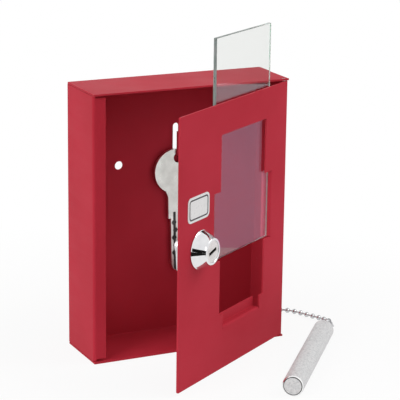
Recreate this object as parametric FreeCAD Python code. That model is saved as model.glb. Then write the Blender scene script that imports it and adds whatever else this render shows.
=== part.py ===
"""Break-glass key box: a folded sheet box with a hinged window door, its lock, pane, key and striker on a chain."""
import FreeCAD, Part
import math
import os

V = FreeCAD.Vector
X_AXIS = V(1, 0, 0)
Y_AXIS = V(0, 1, 0)
Z_AXIS = V(0, 0, 1)

# Box: width along X, depth along Y with the door side at -Y, height along Z, in millimetres
BOX_W = 120.0
BOX_D = 40.0
BOX_H = 155.0
SHEET = 1.0
BEND_R = 0.6            # inside radius of every fold
SEAM = 0.25             # open seam between a side wall and the top or bottom panel
LIP_W = 7.4             # return lip on the lock side
LIP_RELIEF = 1.15       # the lip stops this much short of the seams
LIP_SETBACK = 1.3       # the lip lies behind the front edges of the top and bottom panels
HINGE_SETBACK = 4.9     # the hinge side wall stops short to leave room for the door's curl

# Holes for the two wall screws in the back panel
WALL_HOLE_R = 2.5
WALL_HOLE_PITCH = 57.0
WALL_HOLE_Z = 103.5

# Hook lanced out of the back panel
HOOK_X = 7.4
HOOK_W = 3.2
HOOK_TOP_Z = 108.2
HOOK_REACH = 6.1
HOOK_RISE = 14.0
SLOT_W = 3.7
SLOT_TOP_Z = 125.6

# Hinge rod and the door's curl around it
ROD_R = 1.25
ROD_FIT = 0.05
CURL_R = ROD_R + ROD_FIT + SHEET
CURL_END_DEG = 195.0
HINGE_X = 57.6
DOOR_PROUD = 0.2
HINGE_Y = -BOX_D / 2 - DOOR_PROUD + CURL_R
DOOR_REST_DEG = 33.3

# Door leaf, with distances s measured from the hinge axis towards the free edge
DOOR_W = 116.2
DOOR_Z0 = 1.5
DOOR_Z1 = 153.5
DOOR_Y = HINGE_Y - CURL_R
DOOR_CORNER_R = 1.0

# Window and the pane that slides in behind it
WINDOW_S = 48.0
WINDOW_W = 50.0
WINDOW_Z0 = 33.0
WINDOW_Z1 = 136.0
WINDOW_R = 1.2
PANE_W = 60.0
PANE_L = 123.4
PANE_T = 2.0
PANE_SIDE_GAP = 0.7
PANE_SHIFT = 0.6        # the pane leans against the guide on the hinge side
PANE_FACE_GAP = 0.5
PANE_SEAT_GAP = 0.25
PANE_LIFT = 39.4        # the pane is drawn up by this much in the stored pose
GUIDE_Z0 = 65.6
GUIDE_Z1 = 104.0
GUIDE_LIP = 3.6
POCKET_W = 41.2
POCKET_SEAT_Z = 26.2
POCKET_RISE = 6.0
RELIEF = 0.4            # clearance cut at the ends of a lanced tab

# Cam lock, with depths measured back from the door's front face
LOCK_S = 94.1
LOCK_Z = 77.2
COLLAR_R = 10.8
COLLAR_FACE_R = 7.5
COLLAR_H = 8.0
BARREL_R = 8.0
BARREL_FLAT = 14.0
BARREL_END = 9.0
PLUG_R = 5.0
PLUG_HEAD_R = 6.0
PLUG_HEAD_H = 1.4
PLUG_RECESS = 0.3
LOCK_FIT = 0.06
KEYWAY_W = 1.8
KEYWAY_H = 7.6
KEYWAY_DEG = -15.0
WAFER_COUNT = 5
WAFER_T = 0.9
WAFER_PITCH = 1.9
NUT_AF = 19.0
NUT_T = 3.4
WASHER_T = 0.8
DRIVE_SIDE = 6.6
STOP_T = 0.8
STOP_R = 6.4
STOP_TAB_REACH = 8.4
STOP_TAB_W = 4.0
CAM_T = 2.0
CAM_W = 13.0
CAM_TIP_W = 9.0
CAM_REACH = 20.0
CAM_CRANK = 5.0
CAM_CRANK_R = 12.2
CAM_SCREW_R = 2.0

# Key on the hook, with heights measured from the middle of its bow
KEY_T = 2.4
KEY_Y = 16.1
KEY_HOLE_R = 3.0
KEY_HOLE_UP = 7.9
KEY_HOLE_OFFSET = 1.9   # the hole lies off the key's axis, so the key hangs a little askew
KEY_HANG_DEG = 1.4
KEY_HOOK_GAP = 0.12
KEY_BOW_R = 13.2
KEY_SHANK_W = 10.0
KEY_SHANK_END = -28.4
KEY_BLADE_W = 7.0
KEY_TIP = -60.2
KEY_TRACK_TOP = -24.6
KEY_TRACK_X = -1.2
KEY_TRACK_W = 1.5
KEY_TRACK_D = 0.7
KEY_CUT_R = 1.35
KEY_CUT_PITCH = 4.6
KEY_CUT_COUNT = 6

# Striker rod lying on the table, its ring, and the ball chain to the box
STRIKER_R = 6.0
STRIKER_NEAR = V(18.4, -108.7, STRIKER_R)
STRIKER_FAR = V(79.8, -34.3, STRIKER_R)
STRIKER_CHAMFER = 0.9
TANG_T = 2.2
TANG_R = 3.3
TANG_HOLE_R = 1.8
TANG_HOLE_REACH = 5.4
RING_R = 4.2
RING_WIRE_R = 0.5
RING_HEADING_DEG = 37.0
RING_DIP_DEG = 15.0
CHAIN_R = 1.6
CLASP_R = 2.05
CLASP_BORE_R = 1.75
CLASP_L = 4.6
EYE_T = 0.8
EYE_R = 2.0
EYE_HOLE_R = 1.1
EYE_REACH = 3.4
ANCHOR_Y = 13.0
ANCHOR_RIVET_R = 1.0
ANCHOR_HEAD_R = 2.3
CHAIN_MOUTH_Z = 30.0
CHAIN_TO_RING_DEG = -110.0
CHAIN_RISE_DEG = 6.0
TABLE_RUN_Z = 1.8


def cylinder(radius, length, base, axis):
    """Round bar from base along axis."""
    return Part.makeCylinder(radius, length, base, axis)


def block(x0, x1, y0, y1, z0, z1):
    """Box between two corners."""
    return Part.makeBox(x1 - x0, y1 - y0, z1 - z0, V(x0, y0, z0))


def solid_of(shape):
    """The single cleaned solid that a boolean left."""
    return shape.removeSplitter().Solids[0]


def left_of(direction):
    """Unit vector a quarter turn to the left of a 2-D direction."""
    return V(-direction.y, direction.x, 0)


def strip_face(path, place, thickness=SHEET, inside_r=BEND_R):
    """Face of a folded strip: path holds its centre line's corners in 2-D, and place maps a 2-D point to the model."""
    points = [V(u, v, 0) for u, v in path]
    runs = [(b - a).normalize() for a, b in zip(points, points[1:])]
    bend_r = inside_r + thickness / 2

    def side_edges(offset):
        start = points[0] + left_of(runs[0]) * offset
        edges = []
        for corner, before, after in zip(points[1:-1], runs, runs[1:]):
            turn = math.atan2(before.cross(after).z, before.dot(after))
            trim = bend_r * math.tan(abs(turn) / 2)
            first = corner - before * trim
            last = corner + after * trim
            centre = first + left_of(before) * math.copysign(bend_r, turn)
            radius = bend_r - math.copysign(offset, turn * offset) if turn else bend_r
            middle = centre + (corner - centre).normalize() * radius
            arc_start = first + left_of(before) * offset
            arc_end = last + left_of(after) * offset
            edges.append(Part.LineSegment(place(start), place(arc_start)).toShape())
            edges.append(Part.Arc(place(arc_start), place(middle), place(arc_end)).toShape())
            start = arc_end
        end = points[-1] + left_of(runs[-1]) * offset
        edges.append(Part.LineSegment(place(start), place(end)).toShape())
        return edges, place(points[0] + left_of(runs[0]) * offset), place(end)

    left, left_start, left_end = side_edges(thickness / 2)
    right, right_start, right_end = side_edges(-thickness / 2)
    caps = [Part.LineSegment(left_start, right_start).toShape(), Part.LineSegment(left_end, right_end).toShape()]
    return Part.Face(Part.Wire(Part.__sortEdges__(left + right + caps)))


def rounded_plate(width, height, radius, thickness):
    """Plate in XZ centred on the origin, with round corners, going back along +Y."""
    w, h = width / 2 - radius, height / 2
    flat = block(-w, w, 0, thickness, -h, h)
    flat = flat.fuse(block(-w - radius, w + radius, 0, thickness, -h + radius, h - radius))
    for x in (-w, w):
        for z in (-h + radius, h - radius):
            flat = flat.fuse(cylinder(radius, thickness, V(x, 0, z), Y_AXIS))
    return flat.removeSplitter()


def moved(shape, offset):
    """Copy of a shape shifted by a vector."""
    copy = shape.copy()
    copy.translate(offset)
    return copy


def opened(shape):
    """Shape on the door, turned from the closed place to the stored opening angle."""
    copy = shape.copy()
    copy.rotate(V(HINGE_X, HINGE_Y, 0), Z_AXIS, DOOR_REST_DEG)
    return copy


def door_point(s, depth, z):
    """Point on the closed door: s from the hinge axis, depth back from the front face."""
    return V(HINGE_X - s, DOOR_Y + depth, z)


def box_shell():
    """Back, four walls and lock side lip folded from one sheet, with wall screw holes and the lanced hook."""
    mid = SHEET / 2
    left, back, top = -BOX_W / 2 + mid, BOX_D / 2 - mid, BOX_H - mid
    front = -BOX_D / 2
    lip_y = front + LIP_SETBACK + mid
    wall_end = front + HINGE_SETBACK
    sides = strip_face(
        [(left - mid + LIP_W, lip_y), (left, lip_y), (left, back), (-left, back), (-left, wall_end)],
        lambda p: V(p.x, p.y, SHEET + SEAM))
    shell = sides.extrude(Z_AXIS * (BOX_H - 2 * (SHEET + SEAM)))
    relief = SHEET + BEND_R
    caps = strip_face([(front, mid), (back, mid), (back, top), (front, top)], lambda p: V(-BOX_W / 2 + relief, p.x, p.y))
    shell = shell.fuse(caps.extrude(X_AXIS * (BOX_W - 2 * relief)))
    for z in (0, BOX_H - SHEET):
        panel_back = BOX_D / 2 - relief
        shell = shell.fuse(block(-BOX_W / 2, BOX_W / 2, front, panel_back, z, z + SHEET))
        shell = shell.cut(cylinder(ROD_R + ROD_FIT / 2, SHEET, V(HINGE_X, HINGE_Y, z), Z_AXIS))
    for x in (-WALL_HOLE_PITCH / 2, WALL_HOLE_PITCH / 2):
        shell = shell.cut(cylinder(WALL_HOLE_R, SHEET * 3, V(x, BOX_D / 2 - SHEET * 2, WALL_HOLE_Z), Y_AXIS))
    shell = shell.cut(cylinder(ANCHOR_RIVET_R + ROD_FIT, SHEET * 3,
                               V(BOX_W / 2 - SHEET * 2, ANCHOR_Y, anchor_rivet_z()), X_AXIS))
    slot_z = HOOK_TOP_Z - SHEET - BEND_R
    round_z = SLOT_TOP_Z - SLOT_W / 2
    shell = shell.cut(block(HOOK_X - SLOT_W / 2, HOOK_X + SLOT_W / 2, back - SHEET, back + SHEET, slot_z, round_z))
    shell = shell.cut(cylinder(SLOT_W / 2, SHEET * 2, V(HOOK_X, back - SHEET, round_z), Y_AXIS))
    for z in (SHEET + SEAM, BOX_H - SHEET - SEAM - LIP_RELIEF):
        shell = shell.cut(block(-BOX_W / 2 + relief, -BOX_W / 2 + LIP_W + SHEET, front, lip_y + SHEET, z, z + LIP_RELIEF))
    hook_z = HOOK_TOP_Z - mid
    hook = strip_face([(back, slot_z - SHEET * 2), (back, hook_z), (back + mid - HOOK_REACH, hook_z),
                       (back + mid - HOOK_REACH, hook_z + HOOK_RISE)],
                      lambda p: V(HOOK_X - HOOK_W / 2, p.x, p.y))
    return solid_of(shell.fuse(hook.extrude(X_AXIS * HOOK_W)))


def hinge_rod():
    """Rod through the door's curl, with its ends in the top and bottom panels."""
    inset = SHEET * 0.15
    return cylinder(ROD_R, BOX_H - 2 * inset, V(HINGE_X, HINGE_Y, inset), Z_AXIS)


def hinge_curl():
    """Rolled hinge edge of the door, wrapped round the rod from its front face."""
    axis = V(HINGE_X, HINGE_Y, DOOR_Z0)
    height = DOOR_Z1 - DOOR_Z0
    sweep = CURL_END_DEG + 90
    outer = Part.makeCylinder(CURL_R, height, axis, Z_AXIS, sweep)
    inner = cylinder(CURL_R - SHEET, height, axis, Z_AXIS)
    curl = outer.cut(inner)
    curl.rotate(axis, Z_AXIS, -90)
    return curl


def side_guide(side):
    """Tab lanced from one side of the window and folded round the pane's edge."""
    mid = SHEET / 2
    leg = PANE_W / 2 + PANE_SIDE_GAP + mid
    lip_depth = SHEET + PANE_T + 2 * PANE_FACE_GAP + mid
    centre = HINGE_X - WINDOW_S
    path = [(leg + SHEET * 3, mid), (leg, mid), (leg, lip_depth), (leg - mid - GUIDE_LIP, lip_depth)]
    face = strip_face(path, lambda p: V(centre + side * p.x, DOOR_Y + p.y, GUIDE_Z0))
    return face.extrude(Z_AXIS * (GUIDE_Z1 - GUIDE_Z0))


def bottom_pocket():
    """Tab below the window folded into the pocket that the pane stands in."""
    mid = SHEET / 2
    ledge = POCKET_SEAT_Z - mid
    rise_depth = SHEET + PANE_T + 2 * PANE_FACE_GAP + mid
    path = [(mid, ledge - SHEET * 3), (mid, ledge), (rise_depth, ledge), (rise_depth, ledge + POCKET_RISE)]
    start = HINGE_X - WINDOW_S - POCKET_W / 2
    face = strip_face(path, lambda p: V(start, DOOR_Y + p.x, p.y))
    return face.extrude(X_AXIS * POCKET_W)


def door_panel():
    """Flat door with its window, pane guides, pocket, lock hole and rolled hinge edge."""
    height = DOOR_Z1 - DOOR_Z0
    free_x = HINGE_X - DOOR_W
    leaf = block(free_x, HINGE_X, DOOR_Y, DOOR_Y + SHEET, DOOR_Z0, DOOR_Z1)
    free_corners = [edge for edge in leaf.Edges
                    if all(abs(v.X - free_x) < 0.01 for v in edge.Vertexes) and abs(edge.tangentAt(0).y) > 0.9]
    leaf = leaf.makeFillet(DOOR_CORNER_R, free_corners)
    window_x = HINGE_X - WINDOW_S
    window_mid = (WINDOW_Z0 + WINDOW_Z1) / 2
    window = rounded_plate(WINDOW_W, WINDOW_Z1 - WINDOW_Z0, WINDOW_R, SHEET * 3)
    leaf = leaf.cut(moved(window, V(window_x, DOOR_Y - SHEET, window_mid)))
    fold = SHEET + BEND_R
    notch = PANE_W / 2 + PANE_SIDE_GAP + fold
    leaf = leaf.cut(block(window_x - notch, window_x + notch, DOOR_Y - SHEET, DOOR_Y + SHEET * 2,
                          GUIDE_Z0 - RELIEF, GUIDE_Z1 + RELIEF))
    half = POCKET_W / 2 + RELIEF
    leaf = leaf.cut(block(window_x - half, window_x + half, DOOR_Y - SHEET, DOOR_Y + SHEET * 2,
                          POCKET_SEAT_Z - fold, WINDOW_Z0 + SHEET))
    lock_hole = barrel_bar(LOCK_FIT * 2, SHEET * 3)
    leaf = leaf.cut(moved(lock_hole, door_point(LOCK_S, -SHEET, LOCK_Z)))
    door = leaf.fuse([hinge_curl(), side_guide(1), side_guide(-1), bottom_pocket()])
    return opened(solid_of(door))


def glass_pane():
    """Loose pane with ground edges, drawn part way up out of its pocket."""
    depth = SHEET + PANE_FACE_GAP
    z = POCKET_SEAT_Z + PANE_SEAT_GAP + PANE_LIFT
    x = HINGE_X - WINDOW_S + PANE_SHIFT
    pane = block(x - PANE_W / 2, x + PANE_W / 2, DOOR_Y + depth, DOOR_Y + depth + PANE_T, z, z + PANE_L)
    return opened(pane.makeChamfer(0.2, pane.Edges))


def barrel_bar(clearance, length):
    """Lock barrel's section, round with two flats, from the origin back along +Y."""
    radius, flat = BARREL_R + clearance, BARREL_FLAT / 2 + clearance
    return cylinder(radius, length, V(), Y_AXIS).common(block(-radius, radius, 0, length, -flat, flat))


def turned(profile):
    """Solid of revolution about the lock axis, from (depth, radius) corners."""
    wire = Part.makePolygon([V(radius, depth, 0) for depth, radius in profile + profile[:1]])
    return Part.Face(wire).revolve(V(), Y_AXIS, 360)


def at_lock(shape):
    """Lock piece built on the lock axis, put in its place on the opened door."""
    return opened(moved(shape, door_point(LOCK_S, 0, LOCK_Z)))


def lock_housing():
    """Bright conical collar and the flatted barrel behind it, bored for the plug."""
    rim = 0.7
    face = -COLLAR_H
    collar = turned([(0, 0), (0, COLLAR_R), (-rim, COLLAR_R), (face + rim, COLLAR_FACE_R + rim / 2),
                     (face, COLLAR_FACE_R - rim / 2), (face, 0)])
    body = collar.fuse(barrel_bar(0, BARREL_END))
    body = body.cut(cylinder(PLUG_R + LOCK_FIT, COLLAR_H + BARREL_END, V(0, face, 0), Y_AXIS))
    body = body.cut(cylinder(PLUG_HEAD_R + LOCK_FIT, PLUG_HEAD_H, V(0, face, 0), Y_AXIS))
    return at_lock(solid_of(body))


def wafer_depths():
    """Depth of the front face of each wafer along the plug."""
    first = -COLLAR_H + PLUG_HEAD_H + WAFER_PITCH
    return [first + WAFER_PITCH * index for index in range(WAFER_COUNT)]


def lock_plug():
    """Turning plug with its keyway, wafer slots and the square drive for the cam."""
    face = -COLLAR_H
    drive_end = cam_depth() + CAM_T
    front = V(0, face + PLUG_RECESS, 0)
    plug = cylinder(PLUG_R, BARREL_END - front.y, front, Y_AXIS)
    plug = plug.fuse(cylinder(PLUG_HEAD_R, PLUG_HEAD_H - PLUG_RECESS - LOCK_FIT, front, Y_AXIS))
    half = DRIVE_SIDE / 2
    plug = plug.fuse(block(-half, half, BARREL_END, drive_end, -half, half))
    keyway_l = wafer_depths()[-1] + WAFER_PITCH - face
    keyway = block(-KEYWAY_H / 2, KEYWAY_H / 2, face, face + keyway_l, -KEYWAY_W / 2, KEYWAY_W / 2)
    plug = plug.cut(keyway)
    for depth in wafer_depths():
        gap = 0.1
        plug = plug.cut(block(-PLUG_R, PLUG_R, depth - gap, depth + WAFER_T + gap, -2.3, 2.3))
    plug = plug.cut(cylinder(CAM_SCREW_R + ROD_FIT, 6.0, V(0, drive_end - 6.0, 0), Y_AXIS))
    plug.rotate(V(), Y_AXIS, KEYWAY_DEG)
    return at_lock(solid_of(plug))


def lock_wafers():
    """Flat wafers that ride in the plug, each with its window for the key."""
    wafers = []
    for depth in wafer_depths():
        wafer = block(-4.3, 4.3, depth, depth + WAFER_T, -2.2, 2.2)
        wafer = wafer.cut(block(-3.0, 3.4, depth, depth + WAFER_T, -1.2, 1.2))
        wafer.rotate(V(), Y_AXIS, KEYWAY_DEG)
        wafers.append(at_lock(wafer))
    return Part.makeCompound(wafers)


def hexagon(across_flats, depth, thickness):
    """Hexagon prism on the lock axis."""
    corner = across_flats / math.sqrt(3)
    points = [V(corner * math.cos(math.radians(60 * k)), depth, corner * math.sin(math.radians(60 * k)))
              for k in range(7)]
    return Part.Face(Part.makePolygon(points)).extrude(Y_AXIS * thickness)


def lock_washer():
    """Plain washer between the door and the lock nut."""
    ring = cylinder(NUT_AF / 2, WASHER_T, V(0, SHEET, 0), Y_AXIS)
    return at_lock(ring.cut(cylinder(BARREL_R + LOCK_FIT, WASHER_T, V(0, SHEET, 0), Y_AXIS)))


def lock_nut():
    """Hexagon nut that clamps the barrel to the door."""
    depth = SHEET + WASHER_T
    nut = hexagon(NUT_AF, depth, NUT_T)
    bevel = turned([(depth, 0), (depth, NUT_AF / 2 + 1.5), (depth + NUT_T - 0.8, NUT_AF / 2 + 1.5),
                    (depth + NUT_T, NUT_AF / 2), (depth + NUT_T, 0)])
    nut = nut.common(bevel).cut(cylinder(BARREL_R + LOCK_FIT, NUT_T, V(0, depth, 0), Y_AXIS))
    return at_lock(solid_of(nut))


def cam_depth():
    """Depth of the cam's front face."""
    return BARREL_END + ROD_FIT + STOP_T


def drive_hole(depth, length):
    """Square hole that fits the plug's drive, set at the plug's angle."""
    half = DRIVE_SIDE / 2 + LOCK_FIT
    hole = block(-half, half, depth, depth + length, -half, half)
    hole.rotate(V(), Y_AXIS, KEYWAY_DEG)
    return hole


def stop_washer():
    """Washer on the plug's square whose tab limits the plug's turn."""
    depth = BARREL_END + ROD_FIT / 2
    disc = cylinder(STOP_R, STOP_T, V(0, depth, 0), Y_AXIS)
    half = STOP_TAB_W / 2
    disc = disc.fuse(block(-half, half, depth, depth + STOP_T, 0, STOP_TAB_REACH))
    return at_lock(solid_of(disc.cut(drive_hole(depth, STOP_T))))


def lock_cam():
    """Cranked tongue on the plug's square, hanging down in the unlocked place."""
    middle = cam_depth() + CAM_T / 2
    crank_end = CAM_CRANK_R + CAM_CRANK * 0.8
    path = [(CAM_W / 2, middle), (-CAM_CRANK_R, middle), (-crank_end, middle - CAM_CRANK), (-CAM_REACH, middle - CAM_CRANK)]
    tongue = strip_face(path, lambda p: V(-CAM_W / 2, p.y, p.x), CAM_T, 0.5).extrude(X_AXIS * CAM_W)
    root = CAM_W / 2
    tip = CAM_TIP_W / 2
    outline = Part.Face(Part.Wire([
        Part.Arc(V(-root, 0, 0), V(0, 0, root), V(root, 0, 0)).toShape(),
        Part.LineSegment(V(root, 0, 0), V(tip, 0, -CAM_REACH + 2)).toShape(),
        Part.Arc(V(tip, 0, -CAM_REACH + 2), V(0, 0, -CAM_REACH), V(-tip, 0, -CAM_REACH + 2)).toShape(),
        Part.LineSegment(V(-tip, 0, -CAM_REACH + 2), V(-root, 0, 0)).toShape()]))
    cam = tongue.common(outline.extrude(Y_AXIS * (middle + CAM_T)))
    return at_lock(solid_of(cam.cut(drive_hole(0, middle + CAM_T * 2))))


def cam_washer():
    """Washer under the cam screw's head."""
    depth = cam_depth() + CAM_T + ROD_FIT
    ring = cylinder(DRIVE_SIDE * 0.75, WASHER_T, V(0, depth, 0), Y_AXIS)
    return at_lock(ring.cut(cylinder(CAM_SCREW_R + LOCK_FIT, WASHER_T, V(0, depth, 0), Y_AXIS)))


def cam_screw():
    """Pan head screw that holds the cam on the plug."""
    seat = cam_depth() + CAM_T + ROD_FIT + WASHER_T
    screw = turned([(seat - 5.5, 0), (seat - 5.5, CAM_SCREW_R), (seat, CAM_SCREW_R), (seat, CAM_SCREW_R * 1.9),
                    (seat + 1.4, CAM_SCREW_R * 1.9), (seat + 2.2, CAM_SCREW_R * 1.4), (seat + 2.2, 0)])
    for width, height in ((1.0, 4.4), (4.4, 1.0)):
        screw = screw.cut(block(-width / 2, width / 2, seat + 1.0, seat + 3.0, -height / 2, height / 2))
    return at_lock(solid_of(screw))


def key_hole_z():
    """Height of the centre of the key's hole as it hangs on the hook."""
    return HOOK_TOP_Z + KEY_HOOK_GAP - math.sqrt(KEY_HOLE_R ** 2 - (HOOK_W / 2) ** 2)


def key_outline(corners):
    """Plate of the key's thickness from corners in XZ."""
    return Part.Face(Part.makePolygon([V(x, 0, z) for x, z in corners + corners[:1]])).extrude(Y_AXIS * KEY_T)


def hanging_key():
    """Flat key with a round bow, shouldered shank and a milled track on both faces, hanging on the hook."""
    half, shank = KEY_BLADE_W / 2, KEY_SHANK_W / 2
    bow = cylinder(KEY_BOW_R, KEY_T, V(), Y_AXIS)
    body = key_outline([(-shank - 1.6, -KEY_BOW_R * 0.85), (-shank, -KEY_BOW_R - 2.0), (-shank, KEY_SHANK_END),
                        (shank, KEY_SHANK_END), (shank, -KEY_BOW_R - 2.0), (shank + 1.6, -KEY_BOW_R * 0.85)])
    blade = key_outline([(-half, KEY_SHANK_END), (-half, KEY_TIP + 4.4), (-half + 1.3, KEY_TIP + 0.7),
                         (-half + 2.4, KEY_TIP), (half - 2.0, KEY_TIP), (half, KEY_TIP + 3.4), (half, KEY_SHANK_END)])
    key = bow.fuse([body, blade]).removeSplitter()
    key = key.cut(cylinder(KEY_HOLE_R, KEY_T, V(KEY_HOLE_OFFSET, 0, KEY_HOLE_UP), Y_AXIS))
    left = KEY_TRACK_X - KEY_TRACK_W / 2
    for y in (0, KEY_T - KEY_TRACK_D):
        key = key.cut(block(left, left + KEY_TRACK_W, y, y + KEY_TRACK_D, KEY_TIP, KEY_TRACK_TOP))
        for index in range(KEY_CUT_COUNT):
            spot = V(KEY_TRACK_X + (0.5 if index % 2 else -0.3), 0, KEY_SHANK_END - 2.6 - KEY_CUT_PITCH * index)
            key = key.cut(moved(hexagon(KEY_CUT_R * 2, y, KEY_TRACK_D), spot))
    key = moved(solid_of(key), V(-KEY_HOLE_OFFSET, -KEY_T / 2, -KEY_HOLE_UP))
    key.rotate(V(), Y_AXIS, -KEY_HANG_DEG)
    return moved(key, V(HOOK_X, KEY_Y, key_hole_z()))


def striker_axis():
    """Direction of the striker from its striking end to its ring."""
    return (STRIKER_FAR - STRIKER_NEAR).normalize()


def tang_hole():
    """Centre of the ring hole in the striker's tang, which the striker swivels about."""
    return STRIKER_FAR + striker_axis() * TANG_HOLE_REACH


def striker_rod():
    """Turned bar with chamfered ends and a flat eyed tang for the ring."""
    length = (STRIKER_FAR - STRIKER_NEAR).Length
    bar = cylinder(STRIKER_R, length, V(), X_AXIS)
    bar = bar.makeChamfer(STRIKER_CHAMFER, [e for e in bar.Edges if e.Curve.TypeId == "Part::GeomCircle"])
    eye = V(length + TANG_HOLE_REACH, 0, -TANG_T / 2)
    tang = block(length - 2, eye.x, -TANG_R, TANG_R, -TANG_T / 2, TANG_T / 2)
    tang = tang.fuse(cylinder(TANG_R, TANG_T, eye, Z_AXIS))
    rod = solid_of(bar.fuse(tang).cut(cylinder(TANG_HOLE_R, TANG_T, eye, Z_AXIS)))
    rod.rotate(V(), Z_AXIS, math.degrees(math.atan2(striker_axis().y, striker_axis().x)))
    return moved(rod, STRIKER_NEAR)


def ring_reach(distance):
    """Point on the ring's line of symmetry, at a distance from the tang's hole."""
    heading, dip = math.radians(RING_HEADING_DEG), math.radians(RING_DIP_DEG)
    level = math.cos(dip)
    return tang_hole() + V(math.cos(heading) * level, math.sin(heading) * level, -math.sin(dip)) * distance


def striker_ring():
    """Wire ring through the striker's tang and the chain's eye, leaning down to the chain."""
    corners = [V(RING_R + RING_WIRE_R * math.cos(math.radians(60 * k)), RING_WIRE_R * math.sin(math.radians(60 * k)), 0)
               for k in range(7)]
    ring = Part.Face(Part.makePolygon(corners)).revolve(V(), Y_AXIS, 360)
    ring.rotate(V(), Z_AXIS, RING_HEADING_DEG)
    return moved(ring, ring_reach(RING_R))


def clasp(eye_offset):
    """Bell that grips the chain's last ball, from its mouth along +X, with a flat eye beyond it."""
    bell = cylinder(CLASP_R, CLASP_L, V(), X_AXIS)
    bell = bell.cut(cylinder(CLASP_BORE_R, CLASP_L - 0.8, V(), X_AXIS))
    eye = V(CLASP_L + EYE_REACH, 0, -EYE_T / 2 + eye_offset)
    arm = block(CLASP_L - 0.4, eye.x, -EYE_R * 0.7, EYE_R * 0.7, eye.z, eye.z + EYE_T)
    arm = arm.fuse(cylinder(EYE_R, EYE_T, eye, Z_AXIS))
    return solid_of(bell.fuse(arm).cut(cylinder(EYE_HOLE_R, EYE_T, eye, Z_AXIS)))


def chain_end_direction():
    """Direction in which the chain's last run rises off the table to the ring."""
    heading, rise = math.radians(CHAIN_TO_RING_DEG), math.radians(CHAIN_RISE_DEG)
    return V(math.cos(heading) * math.cos(rise), math.sin(heading) * math.cos(rise), math.sin(rise))


def striker_clasp_mouth():
    """Mouth of the clasp at the striker's end of the chain."""
    return ring_reach(RING_R * 2) - chain_end_direction() * (CLASP_L + EYE_REACH)


def striker_clasp():
    """Clasp between the chain and the striker's ring."""
    piece = clasp(0)
    piece.rotate(V(), Y_AXIS, -CHAIN_RISE_DEG)
    piece.rotate(V(), Z_AXIS, CHAIN_TO_RING_DEG)
    return moved(piece, striker_clasp_mouth())


def anchor_x():
    """Distance of the hanging chain's axis from the box's middle, just clear of the side wall."""
    return BOX_W / 2 + CLASP_R + 0.1


def anchor_rivet_z():
    """Height of the rivet that holds the chain to the side wall."""
    return CHAIN_MOUTH_Z + CLASP_L + EYE_REACH


def anchor_clasp():
    """Clasp at the box's end of the chain, its eye flat on the side wall."""
    piece = clasp(CLASP_R + 0.1 - EYE_T / 2 - ROD_FIT)
    piece.rotate(V(), Y_AXIS, -90)
    return moved(piece, V(anchor_x(), ANCHOR_Y, CHAIN_MOUTH_Z))


def anchor_rivet():
    """Drive rivet through the eye and the side wall, flush inside the box."""
    z = anchor_rivet_z()
    outer = BOX_W / 2 + EYE_T + ROD_FIT * 2
    inner = BOX_W / 2 - SHEET
    shank = cylinder(ANCHOR_RIVET_R, outer - inner, V(inner, ANCHOR_Y, z), X_AXIS)
    dome = Part.makeCone(ANCHOR_HEAD_R, ANCHOR_HEAD_R * 0.6, ANCHOR_HEAD_R * 0.5, V(outer, ANCHOR_Y, z), X_AXIS)
    return solid_of(shank.fuse(dome))


def chain_route():
    """Corners of the chain's route: down the wall, over the table behind the door, then forward to the striker."""
    end = striker_clasp_mouth()
    before_end = end - chain_end_direction() * 6.4
    return [
        V(anchor_x(), ANCHOR_Y, CHAIN_MOUTH_Z), V(62.3, 13.1, 22.6), V(62.4, 13.6, 14.6), V(63.5, 14.9, 7.9),
        V(66.6, 17.5, 3.2), V(72.6, 20.0, TABLE_RUN_Z), V(79.2, 18.6, TABLE_RUN_Z), V(84.7, 13.9, TABLE_RUN_Z),
        V(88.2, 7.3, TABLE_RUN_Z), V(91.4, -0.3, TABLE_RUN_Z), V(94.1, -6.0, TABLE_RUN_Z + 0.1), before_end, end]


def ball_chain():
    """Chain as a plain tube: straight runs joined by tangent arcs as large as the runs allow."""
    route = chain_route()
    edges = []
    start = route[0]
    for before, corner, after in zip(route, route[1:], route[2:]):
        back = (before - corner).normalize()
        ahead = (after - corner).normalize()
        half_turn = (math.pi - back.getAngle(ahead)) / 2
        trim = 0.45 * min((before - corner).Length, (after - corner).Length)
        radius = trim / math.tan(half_turn)
        print("chain arc radius %.1f mm" % radius)
        first, last = corner + back * trim, corner + ahead * trim
        centre = corner + (back + ahead).normalize() * (radius / math.cos(half_turn))
        middle = centre + (corner - centre).normalize() * radius
        edges += [Part.LineSegment(start, first).toShape(), Part.Arc(first, middle, last).toShape()]
        start = last
    edges.append(Part.LineSegment(start, route[-1]).toShape())
    path = Part.Wire(edges)
    along = (route[1] - route[0]).normalize()
    first = along.cross(Y_AXIS).normalize()
    second = along.cross(first)
    turns = [math.radians(45 * k) for k in range(9)]
    section = Part.makePolygon([route[0] + first * (CHAIN_R * math.cos(a)) + second * (CHAIN_R * math.sin(a)) for a in turns])
    tube = path.makePipeShell([section], True, False)
    expected = 4 * math.sin(math.radians(45)) * CHAIN_R ** 2 * path.Length
    print("chain length %.1f mm, volume share %.4f" % (path.Length, tube.Volume / expected))
    return tube.Solids[0]


NODES = (box_shell, hinge_rod, door_panel, glass_pane, lock_housing, lock_plug, lock_wafers, lock_washer, lock_nut,
         stop_washer, lock_cam, cam_washer, cam_screw, hanging_key, striker_rod, striker_ring, striker_clasp, ball_chain,
         anchor_clasp, anchor_rivet)


def main():
    """Write every piece of the key box to its own file."""
    os.makedirs("parts", exist_ok=True)
    for make in NODES:
        shape = make()
        shape.exportStep("parts/%s.step" % make.__name__)
        box = shape.BoundBox
        print("%-14s valid %s solids %d volume %.1f box %.1f %.1f %.1f to %.1f %.1f %.1f" % (
            make.__name__, shape.isValid(), len(shape.Solids), shape.Volume,
            box.XMin, box.YMin, box.ZMin, box.XMax, box.YMax, box.ZMax))


main()
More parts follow.
